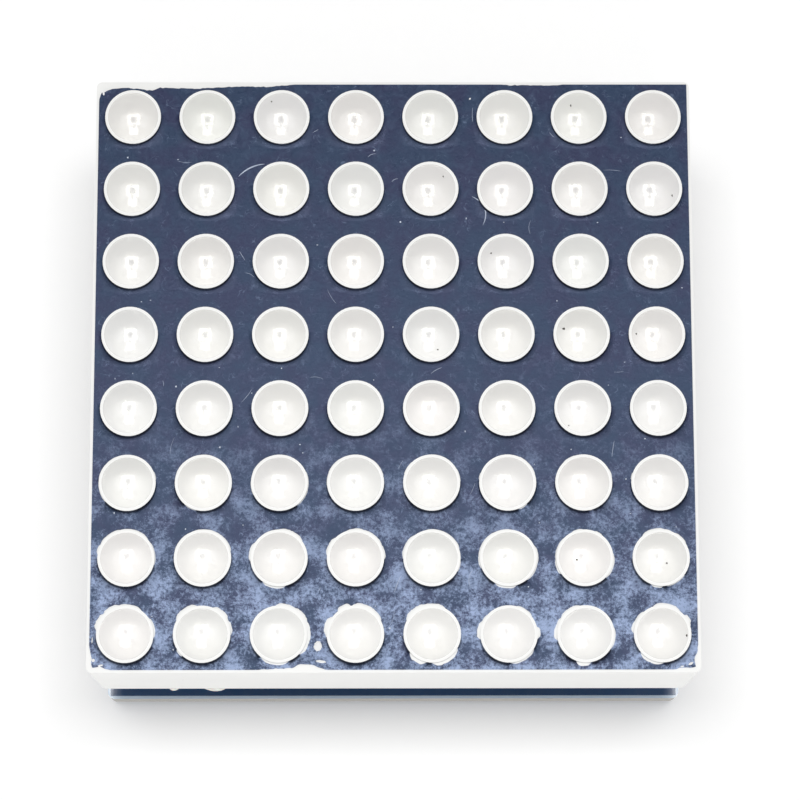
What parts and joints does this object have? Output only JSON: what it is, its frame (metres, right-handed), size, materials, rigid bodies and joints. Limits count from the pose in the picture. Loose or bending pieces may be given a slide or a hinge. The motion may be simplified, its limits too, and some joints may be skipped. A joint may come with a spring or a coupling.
{
  "type": "led dot matrix",
  "caption": "Square LED dot matrix: a dark face with rows of round milky dots on a white moulded shell, pinned onto a blue driver board with a chip in the gap.",
  "frame": {"origin": "under the middle of the module, on the plane of the pin tips", "axes": "+Z out of the face, +X to the right along a row of dots, +Y to the back edge of the face"},
  "size_m": [0.032, 0.0324, 0.0146],
  "materials": {
    "shell_plastic": "moulded, half gloss",
    "face_ink": "printed, gloss",
    "milky_epoxy": "cast, gloss",
    "led_board_laminate": "glass and epoxy laminate",
    "gold_plating": "plated, satin",
    "die_crystal": "polished crystal",
    "bond_wire": "drawn wire, bright",
    "tinned_pin": "tinned, satin",
    "solder_mask": "blue coating, gloss",
    "solder": "solder, satin",
    "chip_moulding": "moulded, fine matt",
    "tinned_lead": "tinned, satin",
    "resistor_glaze": "glazed",
    "capacitor_ceramic": "sintered, matt"
  },
  "bodies": {
    "root": {"reflector_shell": "shell_plastic", "face_ink": "face_ink", "epoxy_casting": "milky_epoxy", "led_board": "led_board_laminate", "led_board_pads": "gold_plating", "led_dies_row_1": "die_crystal", "led_dies_row_2": "die_crystal", "led_dies_row_3": "die_crystal", "led_dies_row_4": "die_crystal", "led_dies_row_5": "die_crystal", "led_dies_row_6": "die_crystal", "led_dies_row_7": "die_crystal", "led_dies_row_8": "die_crystal", "bond_wires_row_1": "bond_wire", "bond_wires_row_2": "bond_wire", "bond_wires_row_3": "bond_wire", "bond_wires_row_4": "bond_wire", "bond_wires_row_5": "bond_wire", "bond_wires_row_6": "bond_wire", "bond_wires_row_7": "bond_wire", "bond_wires_row_8": "bond_wire", "pin_01": "tinned_pin", "pin_02": "tinned_pin", "pin_03": "tinned_pin", "pin_04": "tinned_pin", "pin_05": "tinned_pin", "pin_06": "tinned_pin", "pin_07": "tinned_pin", "pin_08": "tinned_pin", "pin_09": "tinned_pin", "pin_10": "tinned_pin", "pin_11": "tinned_pin", "pin_12": "tinned_pin", "pin_13": "tinned_pin", "pin_14": "tinned_pin", "pin_15": "tinned_pin", "pin_16": "tinned_pin", "driver_board": "solder_mask", "pin_hole_plating": "gold_plating", "wire_hole_plating": "gold_plating", "surface_pads": "gold_plating", "solder_joints_front": "solder", "solder_joints_back": "solder", "driver_chip": "chip_moulding", "chip_leads": "tinned_lead", "chip_solder": "solder", "resistor": "resistor_glaze", "resistor_ends": "tinned_lead", "small_capacitor": "capacitor_ceramic", "small_capacitor_ends": "tinned_lead", "large_capacitor": "capacitor_ceramic", "large_capacitor_ends": "tinned_lead"}
  },
  "joints": []
}
